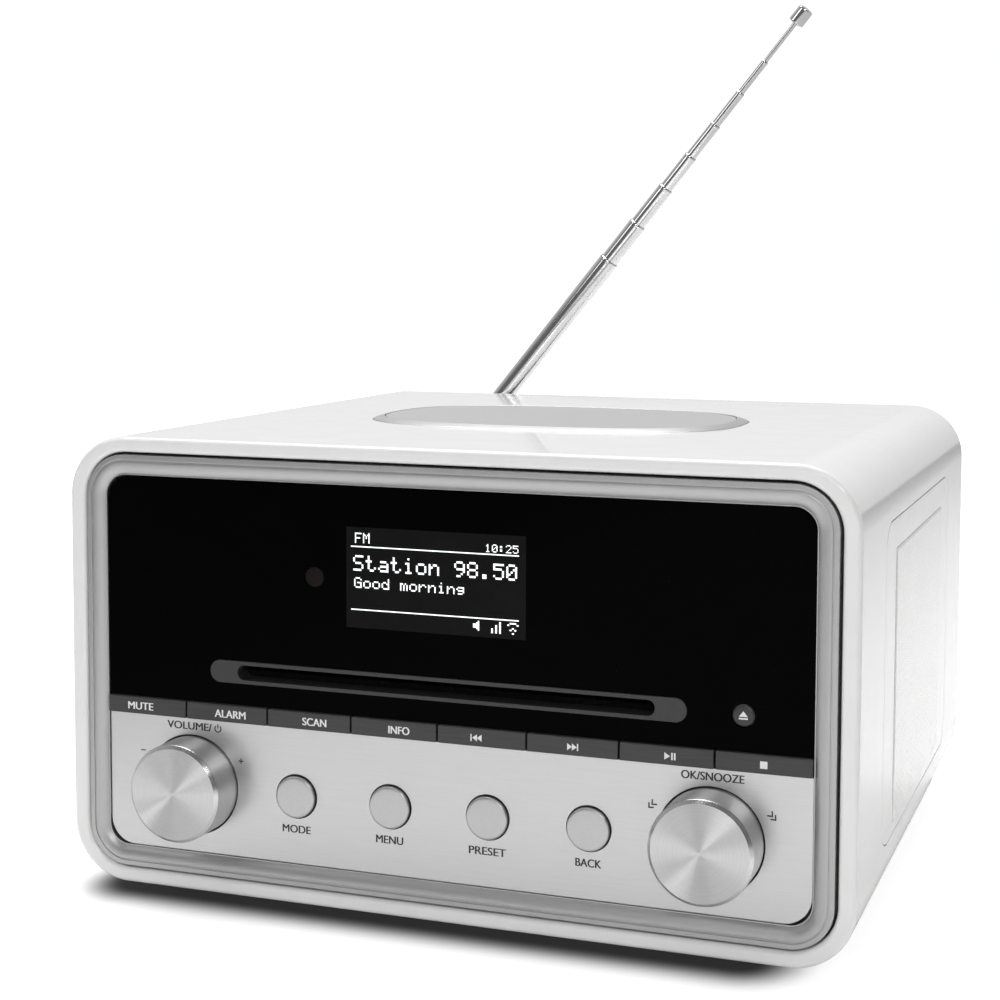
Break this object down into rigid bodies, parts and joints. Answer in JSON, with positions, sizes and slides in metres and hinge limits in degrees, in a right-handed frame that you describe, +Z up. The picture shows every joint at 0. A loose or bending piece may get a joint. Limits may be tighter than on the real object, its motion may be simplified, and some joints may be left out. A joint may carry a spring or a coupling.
{
  "type": "tabletop radio",
  "caption": "Compact tabletop radio with a disc slot, side speakers, push-and-turn knobs, a row of keys, a charging pad on top and a swivelling telescopic aerial.",
  "frame": {"origin": "centre of the footprint on the surface the radio stands on", "axes": "+Z up, -Y out of the front panel, +X to the right of a person facing the radio"},
  "size_m": [0.25, 0.251, 0.3032],
  "materials": {
    "white_lacquer": "gloss lacquer",
    "back_plastic": "fine texture",
    "foot_rubber": "matt",
    "screw_steel": "blackened",
    "pad_rubber": "satin",
    "bezel_silver": "satin",
    "black_plastic": "matt",
    "gloss_black": "high gloss",
    "brushed_aluminium": "brushed",
    "sensor_window": "gloss",
    "trim_grey": "satin",
    "felt": "felt",
    "button_satin": "satin",
    "key_grey": "brushed",
    "knob_aluminium": "spun",
    "plunger_brass": "plain",
    "board_green": "satin",
    "drive_steel": "zinc plated",
    "roller_rubber": "matt",
    "coil_copper": "plain",
    "speaker_metal": "satin",
    "cone_paper": "matt",
    "chrome": "polished"
  },
  "bodies": {
    "cabinet": {"aerial_mount": "chrome", "bezel_ring": "bezel_silver", "cabinet_shell": "white_lacquer", "charging_coil": "coil_copper", "charging_pad": "pad_rubber", "control_board": "board_green", "control_panel": "brushed_aluminium", "cover_screws": "screw_steel", "display_module": "black_plastic", "display_panel": "gloss_black", "drive_chassis": "drive_steel", "drive_lid": "drive_steel", "drive_rails": "drive_steel", "dust_curtain": "felt", "feet": "foot_rubber", "front_frame": "black_plastic", "ir_window": "sensor_window", "left_grille": "white_lacquer", "left_speaker": "speaker_metal", "main_board": "board_green", "pad_ring": "bezel_silver", "rear_cover": "back_plastic", "rear_sockets": "black_plastic", "right_grille": "white_lacquer", "right_speaker": "speaker_metal", "rotary_encoders": "black_plastic", "slot_trim": "trim_grey", "tact_switches": "black_plastic"},
    "volume_plunger": {"volume_plunger": "plunger_brass"},
    "volume_knob": {"volume_knob": "knob_aluminium"},
    "tuning_plunger": {"tuning_plunger": "plunger_brass"},
    "tuning_knob": {"tuning_knob": "knob_aluminium"},
    "mode_button": {"mode_button": "button_satin"},
    "menu_button": {"menu_button": "button_satin"},
    "preset_button": {"preset_button": "button_satin"},
    "back_button": {"back_button": "button_satin"},
    "mute_key": {"mute_key": "key_grey"},
    "alarm_key": {"alarm_key": "key_grey"},
    "scan_key": {"scan_key": "key_grey"},
    "info_key": {"info_key": "key_grey"},
    "previous_key": {"previous_key": "key_grey"},
    "next_key": {"next_key": "key_grey"},
    "play_key": {"play_key": "key_grey"},
    "stop_key": {"stop_key": "key_grey"},
    "eject_button": {"eject_button": "trim_grey"},
    "loading_roller": {"loading_roller": "roller_rubber"},
    "turntable": {"turntable": "black_plastic"},
    "laser_sled": {"laser_sled": "black_plastic"},
    "left_cone": {"left_cone": "cone_paper"},
    "right_cone": {"right_cone": "cone_paper"},
    "aerial_swivel": {"aerial_swivel": "chrome", "aerial_pin": "chrome"},
    "aerial_tube_1": {"aerial_tube_1": "chrome"},
    "aerial_tube_2": {"aerial_tube_2": "chrome"},
    "aerial_tube_3": {"aerial_tube_3": "chrome"},
    "aerial_tube_4": {"aerial_tube_4": "chrome"},
    "aerial_tube_5": {"aerial_tube_5": "chrome"},
    "aerial_tube_6": {"aerial_tube_6": "chrome"},
    "aerial_tube_7": {"aerial_tube_7": "chrome"},
    "aerial_rod": {"aerial_rod": "chrome"}
  },
  "joints": [
    {"name": "volume_push", "type": "slide", "parent": "cabinet", "child": "volume_plunger", "axis": [0, 1, 0], "range_m": [0, 0.0006], "stiffness_N_per_m": 1500},
    {"name": "volume_turn", "type": "hinge", "parent": "volume_plunger", "child": "volume_knob", "pos_m": [-0.083, -0.1255, 0.0383], "axis": [0, 1, 0], "continuous": true},
    {"name": "tuning_push", "type": "slide", "parent": "cabinet", "child": "tuning_plunger", "axis": [0, 1, 0], "range_m": [0, 0.0006], "stiffness_N_per_m": 1500},
    {"name": "tuning_turn", "type": "hinge", "parent": "tuning_plunger", "child": "tuning_knob", "pos_m": [0.083, -0.1255, 0.0383], "axis": [0, 1, 0], "continuous": true},
    {"name": "mode_press", "type": "slide", "parent": "cabinet", "child": "mode_button", "axis": [0, 1, 0], "range_m": [0, 0.0008], "stiffness_N_per_m": 700},
    {"name": "menu_press", "type": "slide", "parent": "cabinet", "child": "menu_button", "axis": [0, 1, 0], "range_m": [0, 0.0008], "stiffness_N_per_m": 700},
    {"name": "preset_press", "type": "slide", "parent": "cabinet", "child": "preset_button", "axis": [0, 1, 0], "range_m": [0, 0.0008], "stiffness_N_per_m": 700},
    {"name": "back_press", "type": "slide", "parent": "cabinet", "child": "back_button", "axis": [0, 1, 0], "range_m": [0, 0.0008], "stiffness_N_per_m": 700},
    {"name": "mute_press", "type": "slide", "parent": "cabinet", "child": "mute_key", "axis": [0, 1, 0], "range_m": [0, 0.0008], "stiffness_N_per_m": 700},
    {"name": "alarm_press", "type": "slide", "parent": "cabinet", "child": "alarm_key", "axis": [0, 1, 0], "range_m": [0, 0.0008], "stiffness_N_per_m": 700},
    {"name": "scan_press", "type": "slide", "parent": "cabinet", "child": "scan_key", "axis": [0, 1, 0], "range_m": [0, 0.0008], "stiffness_N_per_m": 700},
    {"name": "info_press", "type": "slide", "parent": "cabinet", "child": "info_key", "axis": [0, 1, 0], "range_m": [0, 0.0008], "stiffness_N_per_m": 700},
    {"name": "previous_press", "type": "slide", "parent": "cabinet", "child": "previous_key", "axis": [0, 1, 0], "range_m": [0, 0.0008], "stiffness_N_per_m": 700},
    {"name": "next_press", "type": "slide", "parent": "cabinet", "child": "next_key", "axis": [0, 1, 0], "range_m": [0, 0.0008], "stiffness_N_per_m": 700},
    {"name": "play_press", "type": "slide", "parent": "cabinet", "child": "play_key", "axis": [0, 1, 0], "range_m": [0, 0.0008], "stiffness_N_per_m": 700},
    {"name": "stop_press", "type": "slide", "parent": "cabinet", "child": "stop_key", "axis": [0, 1, 0], "range_m": [0, 0.0008], "stiffness_N_per_m": 700},
    {"name": "eject_press", "type": "slide", "parent": "cabinet", "child": "eject_button", "axis": [0, 1, 0], "range_m": [0, 0.0008], "stiffness_N_per_m": 700},
    {"name": "roller_spin", "type": "hinge", "parent": "cabinet", "child": "loading_roller", "pos_m": [0, -0.091, 0.0715], "axis": [1, 0, 0], "continuous": true},
    {"name": "turntable_spin", "type": "hinge", "parent": "cabinet", "child": "turntable", "pos_m": [0, -0.033, 0.07], "axis": [0, 0, 1], "continuous": true},
    {"name": "sled_travel", "type": "slide", "parent": "cabinet", "child": "laser_sled", "axis": [0, 1, 0], "range_m": [0, 0.035]},
    {"name": "right_cone_stroke", "type": "slide", "parent": "cabinet", "child": "right_cone", "axis": [1, 0, 0], "range_m": [-0.001, 0.001], "stiffness_N_per_m": 1500},
    {"name": "left_cone_stroke", "type": "slide", "parent": "cabinet", "child": "left_cone", "axis": [-1, 0, 0], "range_m": [-0.001, 0.001], "stiffness_N_per_m": 1500},
    {"name": "aerial_swivel_turn", "type": "hinge", "parent": "cabinet", "child": "aerial_swivel", "pos_m": [-0.0886, 0.1215, 0.1173], "axis": [0, 1, 0], "range_deg": [-129.1, 50.9]},
    {"name": "aerial_tilt", "type": "hinge", "parent": "aerial_swivel", "child": "aerial_tube_1", "pos_m": [-0.0886, 0.1215, 0.1173], "axis": [-0.776, 0, 0.6307], "range_deg": [0, 90]},
    {"name": "section_2_slide", "type": "slide", "parent": "aerial_tube_1", "child": "aerial_tube_2", "axis": [0.6307, 0, 0.776], "range_m": [-0.018, 0.067]},
    {"name": "section_3_slide", "type": "slide", "parent": "aerial_tube_2", "child": "aerial_tube_3", "axis": [0.6307, 0, 0.776], "range_m": [-0.0177, 0.0673]},
    {"name": "section_4_slide", "type": "slide", "parent": "aerial_tube_3", "child": "aerial_tube_4", "axis": [0.6307, 0, 0.776], "range_m": [-0.0152, 0.0698]},
    {"name": "section_5_slide", "type": "slide", "parent": "aerial_tube_4", "child": "aerial_tube_5", "axis": [0.6307, 0, 0.776], "range_m": [-0.015, 0.07]},
    {"name": "section_6_slide", "type": "slide", "parent": "aerial_tube_5", "child": "aerial_tube_6", "axis": [0.6307, 0, 0.776], "range_m": [-0.015, 0.07]},
    {"name": "section_7_slide", "type": "slide", "parent": "aerial_tube_6", "child": "aerial_tube_7", "axis": [0.6307, 0, 0.776], "range_m": [-0.0145, 0.0705]},
    {"name": "section_8_slide", "type": "slide", "parent": "aerial_tube_7", "child": "aerial_rod", "axis": [0.6307, 0, 0.776], "range_m": [-0.0172, 0.0678]}
  ]
}
